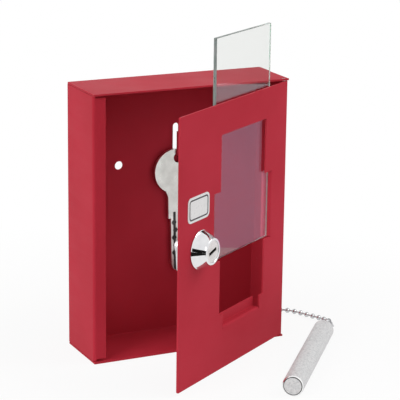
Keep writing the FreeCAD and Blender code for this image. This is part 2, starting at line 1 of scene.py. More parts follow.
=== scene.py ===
"""Dressed break-glass key box: sheet box, window door, pane, cam lock, key, striker and ball chain."""
import logging
import math
from dataclasses import dataclass, field
from enum import Enum
from typing import Iterable, List, Optional, Sequence, Tuple

import bmesh
import bpy
from mathutils import Matrix, Vector


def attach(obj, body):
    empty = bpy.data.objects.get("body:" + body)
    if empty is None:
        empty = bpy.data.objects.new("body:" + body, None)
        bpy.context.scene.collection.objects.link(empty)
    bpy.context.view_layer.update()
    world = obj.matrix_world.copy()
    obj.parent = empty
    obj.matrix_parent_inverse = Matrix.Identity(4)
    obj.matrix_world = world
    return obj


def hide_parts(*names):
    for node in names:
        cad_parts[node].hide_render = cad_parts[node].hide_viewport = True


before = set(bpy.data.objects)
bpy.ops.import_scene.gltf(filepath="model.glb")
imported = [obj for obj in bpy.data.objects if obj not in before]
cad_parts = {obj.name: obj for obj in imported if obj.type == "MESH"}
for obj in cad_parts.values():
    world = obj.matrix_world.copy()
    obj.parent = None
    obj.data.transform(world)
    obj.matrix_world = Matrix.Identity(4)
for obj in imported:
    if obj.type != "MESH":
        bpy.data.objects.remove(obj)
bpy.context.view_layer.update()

Point = Tuple[float, float, float]
Colour = Tuple[float, float, float, float]
Band = Tuple[float, float]
Outline = List[Tuple[float, float]]
Socket = bpy.types.NodeSocket

LOG = logging.getLogger("key_box")
MM = 0.001
WHITE: Colour = (1.0, 1.0, 1.0, 1.0)
MATTE_BLACK: Colour = (0.012, 0.012, 0.012, 1.0)
SMALL_EASE = 0.1 * MM
MERGE_GAP = 0.002 * MM
BEVEL_STEPS = 2
FLAT_DEG = 0.4
SHARP_DEG = 40.0
SMOOTH_DEG = 32.0
NORMAL_WEIGHT = 100


class Body(Enum):
    """Rigid bodies that pieces ride on."""

    BOX = "box"
    DOOR = "door"
    PANE = "pane"
    PLUG = "plug"
    KEY = "key"
    STRIKER = "striker"


class Slot(Enum):
    """Names of the material slots."""

    PAINT = "red_paint"
    GLASS = "glass"
    CHROME = "chrome"
    PLUG = "satin_nickel"
    BRASS = "brass"
    STEEL = "bright_steel"
    KEY = "nickel_silver"
    STRIKER = "striker_steel"


class Graph:
    """Node tree of one material, with short calls for adding and joining nodes.

    A mix node's sockets go by index, because its other data types have sockets of the same names.
    """

    MIX_FACTOR = 0
    MIX_FIRST = 6
    MIX_SECOND = 7
    MIX_RESULT = 2
    EDGE_SAMPLES = 4

    def __init__(self, name: str) -> None:
        """Start an empty tree with an output node.

        Args:
            name: name of the new material.
        """
        self.material = bpy.data.materials.new(name)
        self.material.use_nodes = True
        self.tree = self.material.node_tree
        self.tree.nodes.clear()
        self.output = self.tree.nodes.new("ShaderNodeOutputMaterial")

    def feed(self, node: bpy.types.Node, key: object, value: object) -> None:
        """Give an input of a node another node's output or a plain value.

        Args:
            node: node to feed.
            key: name or index of the input.
            value: output socket or value.
        """
        if isinstance(value, Socket):
            self.tree.links.new(value, node.inputs[key])
        else:
            node.inputs[key].default_value = value

    def add(self, kind: str, **values: object) -> bpy.types.Node:
        """Add a node.

        Args:
            kind: node type without its ShaderNode prefix.
            values: attributes of the node, or inputs when the node has no such attribute, with
                underscores for spaces.

        Returns:
            The new node.
        """
        node = self.tree.nodes.new("ShaderNode" + kind)
        for key, value in values.items():
            if hasattr(node, key):
                setattr(node, key, value)
            else:
                self.feed(node, key.replace("_", " "), value)
        return node

    def show(self, shader: Socket) -> None:
        """Join a shader to the material's surface."""
        self.feed(self.output, "Surface", shader)

    def coords(self, scale: Point = (1.0, 1.0, 1.0), rotation: Point = (0.0, 0.0, 0.0)) -> Socket:
        """Object coordinates, stretched and then turned by radians."""
        origin = self.add("TexCoord").outputs["Object"]
        return self.add("Mapping", Vector=origin, Scale=scale, Rotation=rotation).outputs["Vector"]

    def noise(self, vector: Socket, scale: float, detail: float = 2.0, rough: float = 0.5) -> Socket:
        """Noise value over a vector."""
        node = self.add("TexNoise", Vector=vector, Scale=scale, Detail=detail, Roughness=rough)
        return node.outputs["Fac"]

    def span(self, value: Socket, band: Band, to: Band = (0.0, 1.0)) -> Socket:
        """Value mapped from one band to another and held inside it.

        Args:
            value: value to map.
            band: low and high end of the value.
            to: what the two ends become.

        Returns:
            The mapped value.
        """
        node = self.add("MapRange", clamp=True, Value=value, From_Min=band[0], From_Max=band[1],
                        To_Min=to[0], To_Max=to[1])
        return node.outputs["Result"]

    def mix(self, factor: Socket, first: object, second: object) -> Socket:
        """Colour between two by a factor.

        Args:
            factor: share of the second colour.
            first: colour or colour socket.
            second: colour or colour socket.

        Returns:
            The mixed colour.
        """
        node = self.add("Mix", data_type="RGBA")
        self.feed(node, self.MIX_FACTOR, factor)
        self.feed(node, self.MIX_FIRST, first)
        self.feed(node, self.MIX_SECOND, second)
        return node.outputs[self.MIX_RESULT]

    def blend(self, factor: Socket, first: Socket, second: Socket) -> Socket:
        """Shader between two by a factor.

        Args:
            factor: share of the second shader.
            first: shader at 0.
            second: shader at 1.

        Returns:
            The blended shader.
        """
        node = self.add("MixShader")
        for index, item in enumerate((factor, first, second)):
            self.feed(node, index, item)
        return node.outputs["Shader"]

    def maths(self, operation: str, first: object, second: object) -> Socket:
        """Result of a maths node on two sockets or numbers.

        Args:
            operation: name of the operation.
            first: socket or number.
            second: socket or number.

        Returns:
            The result.
        """
        node = self.add("Math", operation=operation)
        for index, item in enumerate((first, second)):
            self.feed(node, index, item)
        return node.outputs["Value"]

    def bump(self, height: Socket, strength: float, depth: float, under: Optional[Socket] = None) -> Socket:
        """Normal raised by a height value.

        Args:
            height: height from 0 to 1.
            strength: share of the bump that shows.
            depth: height of 1, in metres.
            under: normal below this one.

        Returns:
            The normal.
        """
        node = self.add("Bump", Height=height, Strength=strength, Distance=depth)
        if under:
            self.feed(node, "Normal", under)
        return node.outputs["Normal"]

    def edge(self, radius: float) -> Socket:
        """Mask that rises along sharp edges.

        Args:
            radius: width of the band beside an edge, in metres.

        Returns:
            A value from 0 on flats to about 0.3 on edges.
        """
        dot = self.add("VectorMath", operation="DOT_PRODUCT")
        self.feed(dot, 0, self.add("Bevel", samples=self.EDGE_SAMPLES, Radius=radius).outputs["Normal"])
        self.feed(dot, 1, self.add("NewGeometry").outputs["Normal"])
        return self.maths("SUBTRACT", 1.0, dot.outputs["Value"])

    def surface(self, **values: object) -> Socket:
        """Add the principled surface, show it and return its shader.

        Args:
            values: inputs of the surface, with underscores for spaces.

        Returns:
            The shader.
        """
        shader = self.add("BsdfPrincipled", **values).outputs["BSDF"]
        self.show(shader)
        return shader


@dataclass(frozen=True)
class PowderCoat:
    """Satin red powder coat with a fine orange peel, handling haze and paler edges."""

    colour: Colour = (0.52, 0.034, 0.056, 1.0)
    deep: Colour = (0.47, 0.028, 0.046, 1.0)
    cloud_scale: float = 22.0
    cloud_band: Band = (0.35, 0.7)
    edge_colour: Colour = (0.56, 0.06, 0.07, 1.0)
    edge_width: float = 0.5 * MM
    edge_band: Band = (0.02, 0.25)
    edge_share: Band = (0.0, 0.8)
    wear_scale: float = 260.0
    wear_band: Band = (0.35, 0.65)
    wear_share: Band = (0.35, 1.0)
    peel_scale: float = 850.0
    peel_strength: float = 0.35
    peel_depth: float = 0.06 * MM
    haze_stretch: Point = (1.0, 1.0, 6.0)
    haze_scale: float = 30.0
    haze_band: Band = (0.3, 0.75)
    rough: Band = (0.36, 0.48)
    sheen: float = 0.025

    def build(self) -> bpy.types.Material:
        """Make the material."""
        graph = Graph("red_powder_coat")
        vector = graph.coords()
        cloud = graph.noise(vector, self.cloud_scale, detail=3.0)
        body = graph.mix(graph.span(cloud, self.cloud_band), self.colour, self.deep)
        wear = graph.span(graph.noise(vector, self.wear_scale, detail=3.0), self.wear_band, self.wear_share)
        edge = graph.span(graph.edge(self.edge_width), self.edge_band, self.edge_share)
        worn = graph.mix(graph.maths("MULTIPLY", edge, wear), body, self.edge_colour)
        peel = graph.bump(graph.noise(vector, self.peel_scale), self.peel_strength, self.peel_depth)
        haze = graph.noise(graph.coords(self.haze_stretch), self.haze_scale, detail=4.0, rough=0.6)
        graph.surface(Base_Color=worn, Roughness=graph.span(haze, self.haze_band, self.rough), Normal=peel,
                      Specular_IOR_Level=self.sheen)
        return graph.material


@dataclass(frozen=True)
class Metal:
    """Bare or plated metal with drawn or turned lines, small scratches, a cloudy polish and optional painted
    edge shade.
    """

    name: str
    colour: Colour
    dark: Colour
    rough: Band
    metallic: float = 1.0
    cloud_scale: float = 160.0
    cloud_band: Band = (0.4, 0.72)
    painted_edge_shade: float = 0.0
    painted_edge_shade_colour: Colour = (0.05, 0.05, 0.05, 1.0)
    painted_edge_shade_width: float = 0.4 * MM
    painted_edge_shade_band: Band = (0.01, 0.12)
    grain: Point = (400.0, 400.0, 400.0)
    grain_strength: float = 0.5
    grain_depth: float = 0.008 * MM
    grain_share: float = 0.6
    rough_band: Band = (0.3, 0.7)
    scratch: float = 0.2
    scratch_stretch: Point = (300.0, 300.0, 60.0)
    scratch_turn: Point = (0.5, 0.3, 0.2)
    scratch_band: Band = (0.0, 0.03)
    scratch_depth: float = 0.004 * MM

    def build(self) -> bpy.types.Material:
        """Make the material."""
        graph = Graph(self.name)
        cloud = graph.noise(graph.coords(), self.cloud_scale, detail=4.0, rough=0.6)
        tint = graph.mix(graph.span(cloud, self.cloud_band), self.colour, self.dark)
        # Painted shade: a dark line along sharp edges, standing in for the shade that outlines them.
        if self.painted_edge_shade:
            painted_edge_shade = graph.span(graph.edge(self.painted_edge_shade_width), self.painted_edge_shade_band, (0.0, self.painted_edge_shade))
            tint = graph.mix(painted_edge_shade, tint, self.painted_edge_shade_colour)
        lines = graph.noise(graph.coords(self.grain), 1.0, detail=3.0, rough=0.7)
        uneven = graph.maths("ADD", graph.maths("MULTIPLY", lines, self.grain_share),
                             graph.maths("MULTIPLY", cloud, 1.0 - self.grain_share))
        cells = graph.add("TexVoronoi", feature="DISTANCE_TO_EDGE", Scale=1.0,
                          Vector=graph.coords(self.scratch_stretch, self.scratch_turn))
        fine = graph.span(cells.outputs["Distance"], self.scratch_band)
        grain = graph.bump(lines, self.grain_strength, self.grain_depth)
        graph.surface(Base_Color=tint, Metallic=self.metallic,
                      Roughness=graph.span(uneven, self.rough_band, self.rough),
                      Normal=graph.bump(fine, self.scratch, self.scratch_depth, grain))
        return graph.material


@dataclass(frozen=True)
class ClearGlass:
    """Float glass with a green tint in its depth, a cool sheen and faint vertical wiping marks."""

    tint: Colour = (0.62, 0.9, 0.8, 1.0)
    density: float = 6.0
    sheen: Colour = (0.9, 0.76, 1.0, 1.0)
    shadow: Colour = (0.93, 0.97, 0.95, 1.0)
    ior: float = 1.5
    wipe_stretch: Point = (260.0, 260.0, 3.0)
    wipe_band: Band = (0.45, 0.75)
    rough: Band = (0.0, 0.05)

    def build(self) -> bpy.types.Material:
        """Make the material."""
        graph = Graph("float_glass")
        wipe = graph.noise(graph.coords(self.wipe_stretch), 1.0, detail=3.0, rough=0.6)
        glass = graph.surface(Base_Color=WHITE, Roughness=graph.span(wipe, self.wipe_band, self.rough),
                              IOR=self.ior, Transmission_Weight=1.0, Specular_Tint=self.sheen)
        clear = graph.add("BsdfTransparent", Color=self.shadow).outputs["BSDF"]
        graph.show(graph.blend(graph.add("LightPath").outputs["Is Shadow Ray"], glass, clear))
        depth = graph.add("VolumeAbsorption", Color=self.tint, Density=self.density)
        graph.feed(graph.output, "Volume", depth.outputs["Volume"])
        return graph.material


@dataclass(frozen=True)
class GroundEdge:
    """Ground edge of float glass, frosted and green, with small bright chips."""

    colour: Colour = (0.66, 0.78, 0.73, 1.0)
    chip: Colour = (0.95, 0.97, 0.96, 1.0)
    chip_band: Band = (0.5, 0.66)
    clearness: float = 0.7
    ior: float = 1.3
    grit_stretch: Point = (900.0, 900.0, 140.0)
    grit_strength: float = 0.4
    grit_depth: float = 0.05 * MM
    rough_band: Band = (0.3, 0.7)
    rough: Band = (0.25, 0.45)

    def build(self) -> bpy.types.Material:
        """Make the material."""
        graph = Graph("ground_glass_edge")
        grit = graph.noise(graph.coords(self.grit_stretch), 1.0, detail=4.0, rough=0.65)
        tint = graph.mix(graph.span(grit, self.chip_band), self.colour, self.chip)
        graph.surface(Base_Color=tint, Roughness=graph.span(grit, self.rough_band, self.rough), IOR=self.ior,
                      Transmission_Weight=self.clearness,
                      Normal=graph.bump(grit, self.grit_strength, self.grit_depth))
        return graph.material


@dataclass(frozen=True)
class Enamel:
    """Plain enamel or print with slight unevenness."""

    name: str
    colour: Colour
    shade: Colour
    cloud_scale: float = 400.0
    shade_band: Band = (0.35, 0.7)
    rough_band: Band = (0.3, 0.7)
    rough: Band = (0.24, 0.38)
    bump_strength: float = 0.2
    bump_depth: float = 0.03 * MM

    def build(self) -> bpy.types.Material:
        """Make the material."""
        graph = Graph(self.name)
        cloud = graph.noise(graph.coords(), self.cloud_scale, detail=3.0)
        tint = graph.mix(graph.span(cloud, self.shade_band), self.colour, self.shade)
        graph.surface(Base_Color=tint, Roughness=graph.span(cloud, self.rough_band, self.rough),
                      Normal=graph.bump(cloud, self.bump_strength, self.bump_depth))
        return graph.material


class Finishes:
    """All finishes of the key box, built once."""

    def __init__(self) -> None:
        """Build every material."""
        self.paint = PowderCoat().build()
        self.glass = ClearGlass().build()
        self.glass_edge = GroundEdge().build()
        self.chrome = Metal("polished_chrome", (0.8, 0.8, 0.81, 1), (0.72, 0.72, 0.74, 1), (0.03, 0.09),
                            grain_depth=0.002 * MM, scratch=0.06).build()
        self.plug = Metal("satin_plug", (0.76, 0.75, 0.73, 1), (0.6, 0.59, 0.57, 1), (0.2, 0.34)).build()
        # Brass far darker than bare brass: painted shade for the wafers deep in the keyway.
        self.brass = Metal("brass_with_painted_shade", (0.3, 0.21, 0.09, 1), (0.2, 0.14, 0.06, 1), (0.3, 0.46)).build()
        self.steel = Metal("zinc_steel", (0.72, 0.72, 0.73, 1), (0.52, 0.52, 0.54, 1), (0.2, 0.36)).build()
        self.bead = Metal("bead_steel", (0.58, 0.58, 0.59, 1), (0.36, 0.36, 0.37, 1), (0.06, 0.14)).build()
        self.key = Metal("key_nickel_silver", (0.76, 0.76, 0.74, 1), (0.62, 0.62, 0.6, 1), (0.24, 0.38),
                         grain=(900.0, 900.0, 60.0)).build()
        # The striker gets the painted dark line of shade along its edges.
        self.striker = Metal("turned_striker", (0.74, 0.74, 0.74, 1), (0.5, 0.5, 0.51, 1), (0.42, 0.6),
                             grain=(700.0, 700.0, 700.0), grain_depth=0.02 * MM, metallic=0.15,
                             cloud_scale=900.0, painted_edge_shade=0.7).build()
        self.chamfer = Metal("bright_chamfer", (0.95, 0.95, 0.95, 1), (0.85, 0.85, 0.86, 1),
                             (0.12, 0.2)).build()
        self.ring = Metal("ring_steel", (0.4, 0.4, 0.41, 1), (0.22, 0.22, 0.23, 1), (0.12, 0.24)).build()
        # Dark finish used as painted shade in the key's milled tracks and round the striker's end.
        self.track = Metal("track_shade", (0.1, 0.1, 0.1, 1), (0.035, 0.035, 0.035, 1), (0.4, 0.55)).build()
        self.label = Enamel("white_plate", (0.86, 0.86, 0.85, 1), (0.8, 0.8, 0.79, 1)).build()
        self.label_line = Enamel("dark_plate_line", (0.02, 0.02, 0.022, 1), (0.035, 0.035, 0.035, 1)).build()


def new_object(name: str, mesh: bpy.types.Mesh, material: bpy.types.Material) -> bpy.types.Object:
    """Put a mesh in the scene as a piece at the origin.

    Args:
        name: name of the piece.
        mesh: its mesh, in the row frame.
        material: its finish.

    Returns:
        The new object.
    """
    mesh.materials.clear()
    mesh.materials.append(material)
    piece = bpy.data.objects.new(name, mesh)
    bpy.context.scene.collection.objects.link(piece)
    return piece


def apply_modifiers(piece: bpy.types.Object) -> None:
    """Turn a piece's modifiers into plain mesh and remove them.

    Args:
        piece: the piece.
    """
    graph = bpy.context.evaluated_depsgraph_get()
    mesh = bpy.data.meshes.new_from_object(piece.evaluated_get(graph))
    piece.modifiers.clear()
    old = piece.data
    piece.data = mesh
    bpy.data.meshes.remove(old)
    mesh.name = piece.name


def smooth(mesh: bpy.types.Mesh, angle_deg: float = SMOOTH_DEG) -> None:
    """Shade a mesh smooth except across edges sharper than an angle."""
    mesh.polygons.foreach_set("use_smooth", [True] * len(mesh.polygons))
    mesh.set_sharp_from_angle(angle=math.radians(angle_deg))


def settle(piece: bpy.types.Object, body: Body, nodes: Iterable[str] = ()) -> bpy.types.Object:
    """Attach a finished piece to its body, hide the CAD nodes that it stands for and report it.

    Args:
        piece: the piece.
        body: body that it rides on.
        nodes: CAD nodes that it stands for.

    Returns:
        The same piece.
    """
    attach(piece, body.value)
    names = list(nodes)
    if names:
        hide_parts(*names)
    LOG.info("%s: %d faces on %s", piece.name, len(piece.data.polygons), body.value)
    return piece


def eased_copy(node: str, name: str, width: float, material: bpy.types.Material) -> bpy.types.Object:
    """Copy a CAD node with its sharp edges eased by a small bevel.

    Args:
        node: CAD node to copy.
        name: name of the new piece.
        width: bevel width in metres.
        material: finish of the copy.

    Returns:
        The eased piece.
    """
    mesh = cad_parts[node].data.copy()
    mesh.name = name
    work = bmesh.new()
    work.from_mesh(mesh)
    bmesh.ops.remove_doubles(work, verts=work.verts, dist=MERGE_GAP)
    bmesh.ops.dissolve_limit(work, angle_limit=math.radians(FLAT_DEG), verts=work.verts, edges=work.edges)
    work.to_mesh(mesh)
    work.free()
    piece = new_object(name, mesh, material)
    bevel = piece.modifiers.new("ease", "BEVEL")
    bevel.width = width
    bevel.segments = BEVEL_STEPS
    bevel.limit_method = "ANGLE"
    bevel.angle_limit = math.radians(SHARP_DEG)
    bevel.use_clamp_overlap = True
    bevel.miter_outer = "MITER_ARC"
    apply_modifiers(piece)
    smooth(piece.data)
    weigh = piece.modifiers.new("weigh", "WEIGHTED_NORMAL")
    weigh.weight = NORMAL_WEIGHT
    weigh.keep_sharp = True
    apply_modifiers(piece)
    return piece


def lathe(name: str, profile: Sequence[Tuple[float, float]], segments: int) -> bpy.types.Mesh:
    """Closed ring turned about Y from (depth, radius) corners in metres.

    Args:
        name: name of the mesh.
        profile: closed outline off the axis, in order.
        segments: steps round the axis.

    Returns:
        The mesh, on the Y axis.
    """
    work = bmesh.new()
    turn = [2 * math.pi * step / segments for step in range(segments)]
    rings = [[work.verts.new((radius * math.cos(angle), depth, radius * math.sin(angle))) for angle in turn]
             for depth, radius in profile]
    for first, second in zip(rings, rings[1:] + rings[:1]):
        for step in range(segments):
            after = (step + 1) % segments
            work.faces.new((first[step], first[after], second[after], second[step]))
    bmesh.ops.recalc_face_normals(work, faces=work.faces)
    mesh = bpy.data.meshes.new(name)
    work.to_mesh(mesh)
    work.free()
    smooth(mesh)
    return mesh


def rectangle(name: str, width: float, height: float) -> bpy.types.Mesh:
    """Flat rectangle about the origin that faces up.

    Args:
        name: name of the mesh.
        width: size along X in metres.
        height: size along Y in metres.

    Returns:
        The mesh.
    """
    mesh = bpy.data.meshes.new(name)
    corners = [(sx * width / 2, sy * height / 2, 0.0) for sx, sy in ((-1, -1), (1, -1), (1, 1), (-1, 1))]
    mesh.from_pydata(corners, [], [(0, 1, 2, 3)])
    return mesh


@dataclass
class Hinge:
    """Door hinge axis and opening, which places everything on the door."""

    x: float = 57.6 * MM
    y: float = -17.9 * MM
    leaf_back: float = 2.3 * MM
    angle_deg: float = 33.3

    def placed(self, s: float, depth: float, z: float) -> Matrix:
        """Frame on the opened door.

        Args:
            s: distance from the hinge axis towards the free edge.
            depth: distance back from the front face.
            z: height.

        Returns:
            Matrix whose X runs towards the hinge, Y back through the door and Z up.
        """
        opened = Matrix.Rotation(math.radians(self.angle_deg), 4, "Z")
        local = Matrix.Translation((-s, depth - self.leaf_back, z))
        return Matrix.Translation((self.x, self.y, 0.0)) @ opened @ local


@dataclass
class SheetBox:
    """Folded box with its hinge rod."""

    finishes: Finishes
    ease: float = 0.16 * MM

    def build(self) -> None:
        """Dress the shell and the rod."""
        shell = eased_copy("box_shell", "painted_shell", self.ease, self.finishes.paint)
        settle(shell, Body.BOX, ["box_shell"])
        rod = eased_copy("hinge_rod", "hinge_pin", SMALL_EASE, self.finishes.steel)
        settle(rod, Body.BOX, ["hinge_rod"])


@dataclass
class WindowDoor:
    """Door leaf with its window, and the bare bordered plate above the lock."""

    finishes: Finishes
    hinge: Hinge
    ease: float = 0.16 * MM
    plate_s: float = 96.8 * MM
    plate_z: float = 101.0 * MM
    plate_w: float = 22.0 * MM
    plate_h: float = 14.0 * MM
    plate_t: float = 0.35 * MM
    plate_r: float = 3.0 * MM
    plate_sunk: float = 0.02 * MM
    border_out: float = 1.3 * MM
    border_out_r: float = 2.0 * MM
    border_in: float = 2.1 * MM
    border_in_r: float = 1.4 * MM
    border_t: float = 0.05 * MM
    corner_steps: int = 8

    def rounded(self, inset: float, radius: float) -> Outline:
        """Corners of the plate's outline or of a line inside it.

        Args:
            inset: distance in from the plate's edge.
            radius: corner radius.

        Returns:
            Points in door width and height, in order.
        """
        half_w = self.plate_w / 2 - inset - radius
        half_h = self.plate_h / 2 - inset - radius
        points = []
        for quarter, (sx, sz) in enumerate(((1, 1), (-1, 1), (-1, -1), (1, -1))):
            for step in range(self.corner_steps + 1):
                angle = math.pi / 2 * (quarter + step / self.corner_steps)
                points.append((sx * half_w + radius * math.cos(angle),
                               sz * half_h + radius * math.sin(angle)))
        return points

    def slab(self, name: str, outer: Outline, inner: Optional[Outline], front: float, back: float,
             material: bpy.types.Material) -> bpy.types.Object:
        """Thin slab on the door, whole or as a frame round an inner outline.

        Args:
            name: name of the piece.
            outer: outline in door width and height.
            inner: outline of the hole, with as many points, or None.
            front: depth of its front face.
            back: depth of its back face.
            material: its finish.

        Returns:
            The new object.
        """
        work = bmesh.new()
        loops = [[work.verts.new((x, depth, z)) for x, z in line]
                 for line in (outer, inner or []) for depth in (front, back) if line]
        pairs = [(0, 1)] + ([(2, 3), (0, 2), (1, 3)] if inner else [])
        for first, second in ((loops[a], loops[b]) for a, b in pairs):
            for step in range(len(outer)):
                after = (step + 1) % len(outer)
                work.faces.new((first[step], first[after], second[after], second[step]))
        if not inner:
            work.faces.new(loops[0])
            work.faces.new(loops[1])
        bmesh.ops.recalc_face_normals(work, faces=work.faces)
        mesh = bpy.data.meshes.new(name)
        work.to_mesh(mesh)
        work.free()
        mesh.transform(self.hinge.placed(self.plate_s, 0.0, self.plate_z))
        smooth(mesh)
        return new_object(name, mesh, material)

    def build(self) -> None:
        """Dress the leaf and fix the plate to it."""
        leaf = eased_copy("door_panel", "painted_door", self.ease, self.finishes.paint)
        settle(leaf, Body.DOOR, ["door_panel"])
        plate = self.slab("bare_plate", self.rounded(0.0, self.plate_r), None, -self.plate_t, self.plate_sunk,
                          self.finishes.label)
        settle(plate, Body.DOOR)
        border = self.slab("plate_border", self.rounded(self.border_out, self.border_out_r),
                           self.rounded(self.border_in, self.border_in_r), -self.plate_t - self.border_t,
                           -self.plate_t, self.finishes.label_line)
        settle(border, Body.DOOR)


@dataclass
class Pane:
    """Loose glass pane, ground at its top and sides."""

    finishes: Finishes
    hinge: Hinge
    ease: float = 0.05 * MM
    face_lean: float = 0.8
    under_lean: float = -0.5

    def build(self) -> None:
        """Dress the pane."""
        pane = eased_copy("glass_pane", "clear_pane", self.ease, self.finishes.glass)
        pane.data.materials.append(self.finishes.glass_edge)
        front = self.hinge.placed(0.0, 0.0, 0.0).to_3x3() @ Vector((0.0, -1.0, 0.0))
        for polygon in pane.data.polygons:
            on_edge = abs(polygon.normal.dot(front)) < self.face_lean
            polygon.material_index = int(on_edge and polygon.normal.z > self.under_lean)
        settle(pane, Body.PANE, ["glass_pane"])


@dataclass
class CamLock:
    """Cam lock with a turned collar and a threaded, flatted barrel."""

    finishes: Finishes
    hinge: Hinge
    s: float = 94.1 * MM
    z: float = 77.2 * MM
    collar_r: float = 10.8 * MM
    collar_h: float = 8.0 * MM
    collar_crown: float = 0.35 * MM
    collar_edge: float = 0.12 * MM
    rim_from: float = 0.9 * MM
    rim_to: float = 0.5 * MM
    rim_steps: int = 5
    face_r: float = 7.5 * MM
    lip_r: float = 0.5 * MM
    lip_steps: int = 6
    recess_r: float = 6.06 * MM
    recess_h: float = 1.4 * MM
    recess_edge: float = 0.15 * MM
    bore_r: float = 5.06 * MM
    barrel_r: float = 8.0 * MM
    barrel_flat: float = 7.0 * MM
    barrel_end: float = 9.0 * MM
    barrel_taper: float = 0.4 * MM
    barrel_end_r: float = 7.4 * MM
    thread_from: float = 1.2 * MM
    thread_pitch: float = 1.0 * MM
    thread_h: float = 0.28 * MM
    door_gap: float = 0.05 * MM
    segments: int = 128
    smooth_deg: float = 28.0

    def collar_profile(self) -> Outline:
        """Outline of the collar and barrel.

        Returns:
            Depths and radii, from the bore round the outside.
        """
        face = -self.collar_h
        recess = face + self.recess_h
        points = [(recess, self.bore_r), (recess, self.recess_r),
                  (face + self.recess_edge, self.recess_r), (face, self.recess_r + self.recess_edge)]
        for step in range(self.lip_steps + 1):
            angle = math.pi / 2 * step / self.lip_steps
            points.append((face + self.lip_r * (1 - math.cos(angle)),
                           self.face_r - self.lip_r * (1 - math.sin(angle))))
        for step in range(self.rim_steps + 1):
            rise = math.sin(math.pi / 2 * step / self.rim_steps)
            points.append(((self.rim_from - self.rim_to) * rise - self.rim_from,
                           self.collar_r - self.collar_crown * (1 - rise)))
        points += [(-self.collar_edge, self.collar_r), (0.0, self.collar_r - self.collar_edge),
                   (0.0, self.barrel_r)]
        depth = self.thread_from
        root_r = self.barrel_r - self.thread_h
        while depth < self.barrel_end - self.thread_pitch:
            points += [(depth, root_r), (depth + self.thread_pitch / 2, self.barrel_r)]
            depth += self.thread_pitch
        points += [(self.barrel_end - self.barrel_taper, root_r), (self.barrel_end, self.barrel_end_r),
                   (self.barrel_end, self.bore_r)]
        return points

    def cut_flats(self, mesh: bpy.types.Mesh) -> None:
        """Cut the barrel's two flats behind the door.

        Args:
            mesh: the turned collar and barrel, on the Y axis.
        """
        work = bmesh.new()
        work.from_mesh(mesh)
        for sign in (1, -1):
            behind = [face for face in work.faces if face.calc_center_median().y > self.door_gap]
            corners = dict.fromkeys(vert for face in behind for vert in face.verts)
            edges = dict.fromkeys(edge for face in behind for edge in face.edges)
            bmesh.ops.bisect_plane(work, geom=list(corners) + list(edges) + behind, clear_outer=True,
                                   plane_co=(0, 0, sign * self.barrel_flat), plane_no=(0, 0, sign))
            bmesh.ops.holes_fill(work, edges=[edge for edge in work.edges if edge.is_boundary], sides=0)
        bmesh.ops.recalc_face_normals(work, faces=work.faces)
        work.to_mesh(mesh)
        work.free()

    def build(self) -> None:
        """Build the collar and dress the pieces behind the door."""
        mesh = lathe("lock_collar", self.collar_profile(), self.segments)
        self.cut_flats(mesh)
        mesh.transform(self.hinge.placed(self.s, 0.0, self.z))
        smooth(mesh, self.smooth_deg)
        collar = new_object("lock_collar", mesh, self.finishes.chrome)
        settle(collar, Body.DOOR, ["lock_housing"])
        for node, name, body, slot, finish in (
                ("lock_plug", "turning_plug", Body.PLUG, Slot.PLUG, self.finishes.plug),
                ("lock_wafers", "wafer_stack", Body.PLUG, Slot.BRASS, self.finishes.brass),
                ("lock_washer", "barrel_washer", Body.DOOR, Slot.STEEL, self.finishes.steel),
                ("lock_nut", "barrel_nut", Body.DOOR, Slot.STEEL, self.finishes.steel),
                ("stop_washer", "turn_stop", Body.PLUG, Slot.STEEL, self.finishes.steel),
                ("lock_cam", "cranked_cam", Body.PLUG, Slot.STEEL, self.finishes.steel),
                ("cam_washer", "cam_washer_ring", Body.PLUG, Slot.STEEL, self.finishes.steel),
                ("cam_screw", "cam_pan_screw", Body.PLUG, Slot.STEEL, self.finishes.steel)):
            settle(eased_copy(node, name, SMALL_EASE, finish), body, [node])


@dataclass
class HungKey:
    """Key on the hook, with milled tracks in both faces."""

    finishes: Finishes
    ease: float = 0.18 * MM
    middle_y: float = 16.1 * MM
    face_half: float = 1.2 * MM
    track_depths: Band = (0.3 * MM, 0.72 * MM)

    def build(self) -> None:
        """Dress the key, with painted shade in its milled tracks."""
        key = eased_copy("hanging_key", "bow_key", self.ease, self.finishes.key)
        key.data.materials.append(self.finishes.track)
        shallow, deep = self.track_depths
        # Painted shade: faces at the depth of the milled tracks get the dark finish.
        for polygon in key.data.polygons:
            below = self.face_half - abs(polygon.center.y - self.middle_y)
            polygon.material_index = int(shallow < below < deep)
        settle(key, Body.KEY, ["hanging_key"])


@dataclass
class Striker:
    """Striker rod with its ring."""

    finishes: Finishes
    axis: Point = (0.6365, 0.7713, 0.0)
    ease: float = 0.3 * MM
    ring_ease: float = 0.02 * MM
    shade_line_leans: Band = (0.8, 0.985)
    chamfer_leans: Band = (0.55, 0.8)

    def finish_index(self, lean: float) -> int:
        """Place of a face's finish in the rod's list of finishes.

        Args:
            lean: how far the face looks along the rod towards its free end, from -1 to 1.

        Returns:
            0 for the turned side and end, 1 for the bright chamfer, 2 for the painted shade line round the
            end.
        """
        if self.shade_line_leans[0] < lean < self.shade_line_leans[1]:
            return 2
        return int(self.chamfer_leans[0] < lean <= self.chamfer_leans[1])

    def build(self) -> bpy.types.Object:
        """Dress the rod and the ring.

        Returns:
            The ring, which hangs on the chain.
        """
        bar = eased_copy("striker_rod", "turned_bar", self.ease, self.finishes.striker)
        bar.data.materials.append(self.finishes.chamfer)
        bar.data.materials.append(self.finishes.track)
        # Painted shade: the end's bevel faces get the dark finish as a shade line.
        for polygon in bar.data.polygons:
            polygon.material_index = self.finish_index(-polygon.normal.dot(Vector(self.axis)))
        settle(bar, Body.STRIKER, ["striker_rod"])
        ring = eased_copy("striker_ring", "wire_ring", self.ring_ease, self.finishes.ring)
        return settle(ring, Body.BOX, ["striker_ring"])


